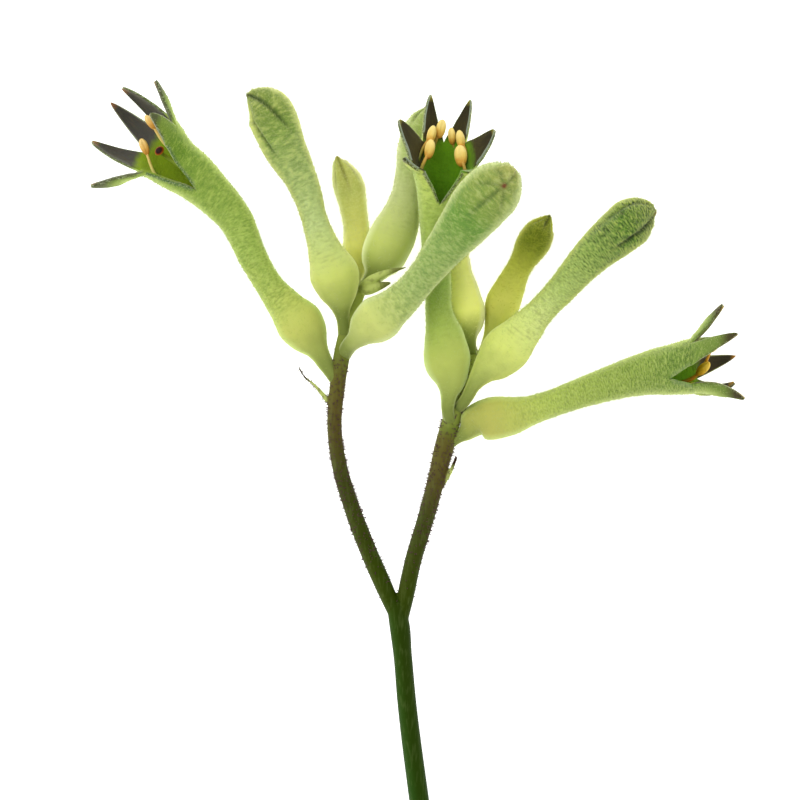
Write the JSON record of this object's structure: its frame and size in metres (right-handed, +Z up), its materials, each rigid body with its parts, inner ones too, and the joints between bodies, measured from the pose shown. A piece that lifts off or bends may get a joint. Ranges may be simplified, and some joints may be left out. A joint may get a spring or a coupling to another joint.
{
  "type": "kangaroo paw flower",
  "caption": "Cut kangaroo paw flower stem lying on its side: a forked green stalk with curved velvety tube flowers, some open with dark pointed lobes.",
  "frame": {"origin": "on the surface that the stem lies on, under the middle of its outline", "axes": "+X across the stem, towards the open flower at the right; +Y from the cut end up to the flowers; +Z up"},
  "size_m": [0.0986, 0.1206, 0.0246],
  "materials": {
    "stalk": "fresh dark green stalk, smooth and slightly waxy",
    "open_flower": "velvety green outside, dark lobes inside, orange anthers",
    "bud": "velvety grey-green, yellow-green at the ovary"
  },
  "bodies": {
    "root": {"stem": "stalk", "flower_left_open": "open_flower", "flower_right_facing": "open_flower", "flower_right_side": "open_flower", "bud_left_tall": "bud", "bud_left_small": "bud", "bud_left_back": "bud", "bud_left_front": "bud", "bud_right_back": "bud", "bud_right_small": "bud", "bud_right_long": "bud"}
  },
  "joints": []
}
